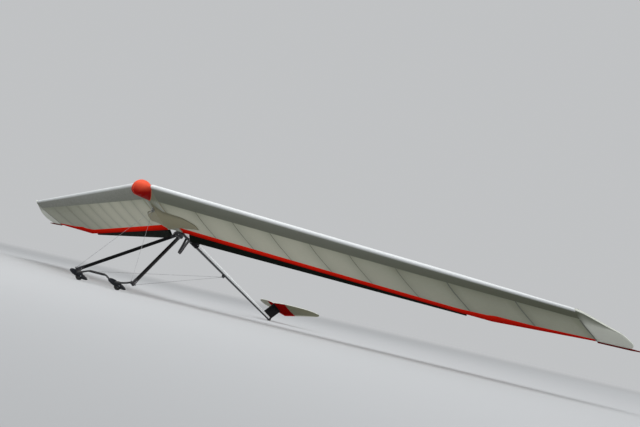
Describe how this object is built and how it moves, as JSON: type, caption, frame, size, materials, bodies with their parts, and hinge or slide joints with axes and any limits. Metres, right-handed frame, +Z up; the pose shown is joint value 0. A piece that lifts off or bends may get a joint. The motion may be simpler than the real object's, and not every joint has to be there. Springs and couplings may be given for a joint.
{
  "type": "rigid wing hang glider",
  "caption": "Swept rigid-wing hang glider with flaps, spoilers, a tail boom with a small tailplane and a control frame on faired wheels.",
  "frame": {"origin": "middle of the footprint of the parked glider, on the ground", "axes": "+X to the pilot's left along the span, -Y the way the nose points, +Z up"},
  "size_m": [13.44, 4.285, 1.6724],
  "materials": {
    "sail_cloth": "woven, satin",
    "white_paint": "gloss paint on composite",
    "red_cloth": "woven, satin",
    "orange_cover": "stretched cover",
    "black_carbon": "clear coated composite",
    "cream_paint": "gloss paint on composite",
    "black_anodised": "black anodised",
    "stay_steel": "wire",
    "tyre_rubber": "smooth rubber",
    "hub_plastic": "moulded",
    "webbing": "webbing"
  },
  "bodies": {
    "airframe": {"apex_yoke": "black_anodised", "axle_left": "stay_steel", "axle_right": "stay_steel", "base_bar": "black_carbon", "boom_sleeve": "black_carbon", "centre_section": "sail_cloth", "corner_left": "black_anodised", "corner_right": "black_anodised", "downtube_left": "black_carbon", "downtube_right": "black_carbon", "flap_hinge_inner_left": "black_anodised", "flap_hinge_inner_right": "black_anodised", "flap_hinge_outer_left": "black_anodised", "flap_hinge_outer_right": "black_anodised", "front_tang": "black_anodised", "hang_loop": "webbing", "keel_end_cap": "tyre_rubber", "keel_fairing": "sail_cloth", "keel_tube": "white_paint", "leading_edge_left": "white_paint", "leading_edge_right": "white_paint", "nose_cap": "orange_cover", "rear_tang": "black_anodised", "sail_left": "sail_cloth", "sail_right": "sail_cloth", "spoiler_pin_left": "stay_steel", "spoiler_pin_right": "stay_steel", "stay_front_left": "stay_steel", "stay_front_right": "stay_steel", "stay_rear_left": "stay_steel", "stay_rear_right": "stay_steel", "tail_boom": "white_paint", "tail_fin": "black_carbon", "tailplane_centre": "red_cloth", "tailplane_left": "cream_paint", "tailplane_right": "cream_paint", "trailing_strip_left": "red_cloth", "trailing_strip_right": "red_cloth", "wheel_pod_left": "black_carbon", "wheel_pod_right": "black_carbon", "wing_tip_left": "sail_cloth", "wing_tip_right": "sail_cloth"},
    "wheel_left": {"wheel_left": "tyre_rubber", "wheel_hub_left": "hub_plastic"},
    "wheel_right": {"wheel_right": "tyre_rubber", "wheel_hub_right": "hub_plastic"},
    "flap_left": {"flap_left": "black_carbon"},
    "flap_right": {"flap_right": "black_carbon"},
    "spoiler_left": {"spoiler_left": "sail_cloth"},
    "spoiler_right": {"spoiler_right": "sail_cloth"}
  },
  "joints": [
    {"name": "wheel_left_spin", "type": "hinge", "parent": "airframe", "child": "wheel_left", "pos_m": [0.47, -1.95316, 0.06494], "axis": [1, 0, 0], "continuous": true},
    {"name": "wheel_right_spin", "type": "hinge", "parent": "airframe", "child": "wheel_right", "pos_m": [-0.47, -1.95316, 0.06494], "axis": [1, 0, 0], "continuous": true},
    {"name": "flap_left_hinge", "type": "hinge", "parent": "airframe", "child": "flap_left", "pos_m": [0.25, -0.66075, 1.05012], "axis": [0.915, 0.3994, -0.0571], "range_deg": [-35, 20]},
    {"name": "flap_right_hinge", "type": "hinge", "parent": "airframe", "child": "flap_right", "pos_m": [-0.25, -0.66075, 1.05012], "axis": [0.915, -0.3994, 0.0571], "range_deg": [-35, 20]},
    {"name": "spoiler_left_hinge", "type": "hinge", "parent": "airframe", "child": "spoiler_left", "pos_m": [3.60066, 0.28932, 1.22615], "axis": [0.9204, 0.3853, -0.0659], "range_deg": [0, 60]},
    {"name": "spoiler_right_hinge", "type": "hinge", "parent": "airframe", "child": "spoiler_right", "pos_m": [-3.60066, 0.28932, 1.22615], "axis": [0.9204, -0.3853, 0.0659], "range_deg": [0, 60]}
  ],
  "couplings": [
    {"joint": "flap_right_hinge", "follows": "flap_left_hinge", "ratio": 1}
  ]
}
